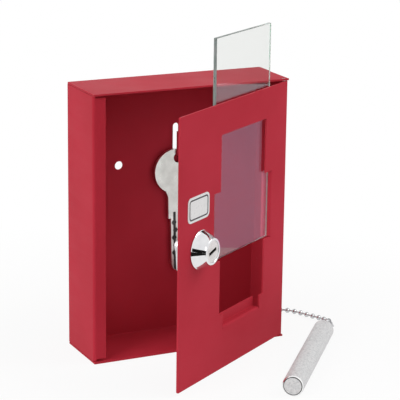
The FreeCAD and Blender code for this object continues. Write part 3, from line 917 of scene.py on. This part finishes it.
@dataclass
class BallChain:
    """Ball chain from the box's side to the striker's ring, with its clasps and rivet.

    The route's points are in millimetres.
    """

    finishes: Finishes
    bead_r: float = 1.6 * MM
    link_r: float = 0.55 * MM
    pitch: float = 4.5 * MM
    length: float = 82.5 * MM
    bead_segments: int = 24
    bead_rings: int = 16
    link_sides: int = 12
    line_steps: int = 16
    line_order: int = 3
    smooth_deg: float = 60.0
    wall_x: float = 60.0 * MM
    inward_lean: float = -0.5
    route: List[Point] = field(default_factory=lambda: [
        (62.15, 13.0, 30.0), (62.3, 13.1, 22.6), (62.4, 13.6, 14.6), (63.5, 14.9, 7.9),
        (66.6, 17.5, 3.2), (72.6, 20.0, 1.8), (79.2, 18.6, 1.8), (84.7, 13.9, 1.8),
        (88.2, 7.3, 1.8), (91.4, -0.3, 1.8), (94.1, -6.0, 1.9), (94.6, -11.8, 2.3),
        (92.4, -17.8, 3.0)])

    def centre_line(self) -> bpy.types.Mesh:
        """Polyline read from the route's smooth spline.

        Returns:
            A mesh of edges along the chain.
        """
        curve = bpy.data.curves.new("chain_line", "CURVE")
        curve.dimensions = "3D"
        curve.resolution_u = self.line_steps
        spline = curve.splines.new("NURBS")
        spline.points.add(len(self.route) - 1)
        for point, place in zip(spline.points, self.route):
            point.co = (place[0] * MM, place[1] * MM, place[2] * MM, 1.0)
        spline.order_u = self.line_order
        spline.use_endpoint_u = True
        holder = bpy.data.objects.new("chain_line", curve)
        bpy.context.scene.collection.objects.link(holder)
        graph = bpy.context.evaluated_depsgraph_get()
        mesh = bpy.data.meshes.new_from_object(holder.evaluated_get(graph))
        bpy.data.objects.remove(holder)
        return mesh

    def tree(self) -> bpy.types.NodeTree:
        """Node tree that strings beads and links along a polyline.

        Returns:
            The tree, with its sizes and finish as inputs.
        """
        tree = bpy.data.node_groups.new("bead_string", "GeometryNodeTree")
        face = tree.interface
        face.new_socket(name="Line", in_out="INPUT", socket_type="NodeSocketGeometry")
        for name in ("Bead Radius", "Link Radius", "Pitch"):
            face.new_socket(name=name, in_out="INPUT", socket_type="NodeSocketFloat")
        face.new_socket(name="Finish", in_out="INPUT", socket_type="NodeSocketMaterial")
        face.new_socket(name="Chain", in_out="OUTPUT", socket_type="NodeSocketGeometry")
        make, join = tree.nodes.new, tree.links.new
        source, sink = make("NodeGroupInput"), make("NodeGroupOutput")
        line = make("GeometryNodeMeshToCurve")
        join(source.outputs["Line"], line.inputs["Mesh"])
        points = make("GeometryNodeCurveToPoints")
        points.mode = "LENGTH"
        join(line.outputs["Curve"], points.inputs["Curve"])
        join(source.outputs["Pitch"], points.inputs["Length"])
        bead = make("GeometryNodeMeshUVSphere")
        bead.inputs["Segments"].default_value = self.bead_segments
        bead.inputs["Rings"].default_value = self.bead_rings
        join(source.outputs["Bead Radius"], bead.inputs["Radius"])
        string = make("GeometryNodeInstanceOnPoints")
        join(points.outputs["Points"], string.inputs["Points"])
        join(bead.outputs["Mesh"], string.inputs["Instance"])
        join(points.outputs["Rotation"], string.inputs["Rotation"])
        profile = make("GeometryNodeCurvePrimitiveCircle")
        profile.inputs["Resolution"].default_value = self.link_sides
        join(source.outputs["Link Radius"], profile.inputs["Radius"])
        link = make("GeometryNodeCurveToMesh")
        link.inputs["Fill Caps"].default_value = True
        join(line.outputs["Curve"], link.inputs["Curve"])
        join(profile.outputs["Curve"], link.inputs["Profile Curve"])
        both = make("GeometryNodeJoinGeometry")
        join(string.outputs["Instances"], both.inputs["Geometry"])
        join(link.outputs["Mesh"], both.inputs["Geometry"])
        real = make("GeometryNodeRealizeInstances")
        join(both.outputs["Geometry"], real.inputs["Geometry"])
        finish = make("GeometryNodeSetMaterial")
        join(real.outputs["Geometry"], finish.inputs["Geometry"])
        join(source.outputs["Finish"], finish.inputs["Material"])
        join(finish.outputs["Geometry"], sink.inputs["Chain"])
        return tree

    def build(self, ring: bpy.types.Object) -> None:
        """String the chain and dress what holds it.

        Args:
            ring: piece at the chain's far end; not used.
        """
        line = self.centre_line()
        chain = new_object("bead_chain", line, self.finishes.bead)
        modifier = chain.modifiers.new("beads", "NODES")
        tree = self.tree()
        modifier.node_group = tree
        sockets = {item.name: item.identifier for item in tree.interface.items_tree if item.in_out == "INPUT"}
        for name, value in (("Bead Radius", self.bead_r), ("Link Radius", self.link_r), ("Pitch", self.pitch),
                            ("Finish", self.finishes.bead)):
            modifier[sockets[name]] = value
        apply_modifiers(chain)
        smooth(chain.data, self.smooth_deg)
        settle(chain, Body.BOX, ["ball_chain"])
        for node, name in (("anchor_clasp", "wall_bell"), ("striker_clasp", "ring_bell")):
            clasp = eased_copy(node, name, SMALL_EASE, self.finishes.steel)
            settle(clasp, Body.BOX, [node])
        rivet = eased_copy("anchor_rivet", "domed_rivet", SMALL_EASE, self.finishes.steel)
        rivet.data.materials.append(self.finishes.paint)
        for polygon in rivet.data.polygons:
            inward = polygon.normal.x < self.inward_lean
            polygon.material_index = int(inward and polygon.center.x < self.wall_x)
        settle(rivet, Body.BOX, ["anchor_rivet"])


@dataclass
class Camera:
    """Camera of the photograph."""

    focal_px: float = 1791.8
    image_px: float = 400.0
    azimuth_deg: float = -25.98
    elevation_deg: float = 15.17
    roll_deg: float = 0.75
    place_mm: Point = (-424.0, -899.6, 354.5)
    sensor_mm: float = 36.0
    clip_start: float = 0.01

    def build(self) -> None:
        """Add the camera to the scene."""
        az, el, roll = (math.radians(v) for v in (self.azimuth_deg, self.elevation_deg, self.roll_deg))
        back = Vector((math.sin(az) * math.cos(el), -math.cos(az) * math.cos(el), math.sin(el)))
        right = Vector((0, 0, 1)).cross(back).normalized()
        up = back.cross(right)
        right, up = right * math.cos(roll) + up * math.sin(roll), up * math.cos(roll) - right * math.sin(roll)
        data = bpy.data.cameras.new("photo_camera")
        data.sensor_fit = "HORIZONTAL"
        data.sensor_width = self.sensor_mm
        data.lens = self.focal_px * self.sensor_mm / self.image_px
        data.clip_start = self.clip_start
        camera = bpy.data.objects.new("photo_camera", data)
        matrix = Matrix((right, up, back)).transposed().to_4x4()
        matrix.translation = Vector(self.place_mm) * MM
        camera.matrix_world = matrix
        bpy.context.scene.collection.objects.link(camera)
        bpy.context.scene.camera = camera


@dataclass(frozen=True)
class Card:
    """Matte card beside the stage, in metres, that the camera sees neither directly nor through glass.

    A mirrored card shows in bright metal and glass, and tints the light that bounces off it. Any other
    card only gives light back from its front.
    """

    name: str
    place: Point
    target: Point
    width: float
    height: float
    colour: Colour = MATTE_BLACK
    mirrored: bool = True

    def build(self) -> None:
        """Put the card on the stage, facing its target."""
        graph = Graph(self.name)
        matte = graph.add("BsdfDiffuse", Color=self.colour).outputs["BSDF"]
        clear = graph.add("BsdfTransparent").outputs["BSDF"]
        path = graph.add("LightPath").outputs
        unmirrored = graph.maths("LESS_THAN", path["Glossy Depth"], 1.0)
        through = graph.maths("MULTIPLY", path["Is Transmission Ray"], unmirrored)
        behind = graph.add("NewGeometry").outputs["Backfacing"]
        graph.show(graph.blend(through if self.mirrored else behind, matte, clear))
        mesh = rectangle(self.name, self.width, self.height)
        turn = (Vector(self.target) - Vector(self.place)).to_track_quat("Z", "Y").to_matrix().to_4x4()
        mesh.transform(Matrix.Translation(self.place) @ turn)
        piece = new_object(self.name, mesh, graph.material)
        piece.visible_camera = False
        piece.visible_glossy = self.mirrored
        piece.visible_transmission = self.mirrored
        piece.visible_shadow = False


@dataclass(frozen=True)
class Lamp:
    """Square soft lamp, in metres and watts."""

    name: str
    place: Point
    target: Point
    size: float
    power: float

    def build(self) -> None:
        """Hang the lamp, facing its target."""
        data = bpy.data.lights.new(self.name, "AREA")
        data.shape = "SQUARE"
        data.size = self.size
        data.energy = self.power
        lamp = bpy.data.objects.new(self.name, data)
        lamp.location = self.place
        lamp.rotation_euler = (Vector(self.target) - Vector(self.place)).to_track_quat("-Z", "Y").to_euler()
        bpy.context.scene.collection.objects.link(lamp)


@dataclass
class Studio:
    """Pale floor, white surround, cards for reflections and soft lamps."""

    floor_side: float = 6.0
    floor_gap: float = 0.2 * MM
    floor_colour: Colour = (0.85, 0.85, 0.85, 1.0)
    lift: Band = (0.9, 1.0)
    lift_reach: Band = (0.10, 0.26)
    ambient: float = 0.58
    cards: Tuple[Card, ...] = (
        Card("low_card", (-0.37, -0.52, 0.001), (-0.37, -0.52, 1.0), 0.66, 0.62),
        Card("high_card", (0.35, 0.27, 0.43), (-0.02, -0.07, 0.077), 0.34, 0.26),
        Card("side_card", (-0.72, -0.78, 0.17), (-0.03, -0.08, 0.17), 1.2, 0.34),
        Card("mauve_card", (0.4475, 0.005, 0.001), (0.4475, 0.005, 1.0), 0.425, 0.11,
             (0.9, 0.62, 0.79, 1.0)),
        Card("far_card", (1.15, 0.03, 0.001), (1.15, 0.03, 1.0), 0.7, 0.6, (0.14, 0.13, 0.12, 1.0)),
        Card("bounce_card", (0.0402, -0.0601, 0.02), (0.8115, -0.6966, 0.02), 0.09, 0.04,
             (0.8, 0.8, 0.8, 1.0), mirrored=False))
    lamps: Tuple[Lamp, ...] = (
        Lamp("key_softbox", (-1.22, -0.45, 0.7), (0.0, 0.0, 0.08), 0.9, 9.0),
        Lamp("right_softbox", (0.8, -0.45, 1.05), (0.0, 0.0, 0.1), 0.8, 6.0))

    def floor(self) -> None:
        """Lay the floor, white to the camera with a soft shadow near the box."""
        graph = Graph("pale_floor")
        matte = graph.add("BsdfDiffuse", Color=self.floor_colour).outputs["BSDF"]
        glow = graph.add("Emission", Color=WHITE, Strength=1.0).outputs["Emission"]
        path = graph.add("LightPath").outputs
        bent = graph.maths("MAXIMUM", path["Is Glossy Ray"], path["Is Transmission Ray"])
        seen = graph.maths("MAXIMUM", path["Is Camera Ray"], bent)
        reach = graph.add("VectorMath", operation="LENGTH", Vector=graph.coords()).outputs["Value"]
        level = graph.span(reach, self.lift_reach, self.lift)
        graph.show(graph.blend(graph.maths("MULTIPLY", seen, level), matte, glow))
        mesh = rectangle("pale_floor", self.floor_side, self.floor_side)
        mesh.transform(Matrix.Translation((0.0, 0.0, -self.floor_gap)))
        new_object("pale_floor", mesh, graph.material)

    def world(self) -> None:
        """Surround that is white to the camera and softer as light."""
        world = bpy.data.worlds.new("white_surround")
        world.use_nodes = True
        bpy.context.scene.world = world
        tree = world.node_tree
        tree.nodes.clear()
        make, join = tree.nodes.new, tree.links.new
        path = make("ShaderNodeLightPath").outputs
        straight, seen = make("ShaderNodeMath"), make("ShaderNodeMath")
        for node, first, second in ((straight, path["Is Camera Ray"], path["Is Transmission Ray"]),
                                    (seen, straight.outputs["Value"], path["Is Glossy Ray"])):
            node.operation = "MAXIMUM"
            join(first, node.inputs[0])
            join(second, node.inputs[1])
        strength = make("ShaderNodeMapRange")
        strength.inputs["To Min"].default_value = self.ambient
        strength.inputs["To Max"].default_value = 1.0
        join(seen.outputs["Value"], strength.inputs["Value"])
        background, output = make("ShaderNodeBackground"), make("ShaderNodeOutputWorld")
        background.inputs["Color"].default_value = WHITE
        join(strength.outputs["Result"], background.inputs["Strength"])
        join(background.outputs["Background"], output.inputs["Surface"])

    def build(self) -> None:
        """Build the whole studio."""
        self.floor()
        self.world()
        for item in self.cards + self.lamps:
            item.build()
        bpy.context.scene.view_settings.view_transform = "Standard"


def main() -> None:
    """Build the key box and its studio."""
    logging.basicConfig(level=logging.INFO, format="%(name)s %(message)s")
    finishes = Finishes()
    hinge = Hinge()
    SheetBox(finishes).build()
    WindowDoor(finishes, hinge).build()
    Pane(finishes, hinge).build()
    CamLock(finishes, hinge).build()
    HungKey(finishes).build()
    ring = Striker(finishes).build()
    BallChain(finishes).build(ring)
    Camera().build()
    Studio().build()


if __name__ == "__main__":
    main()
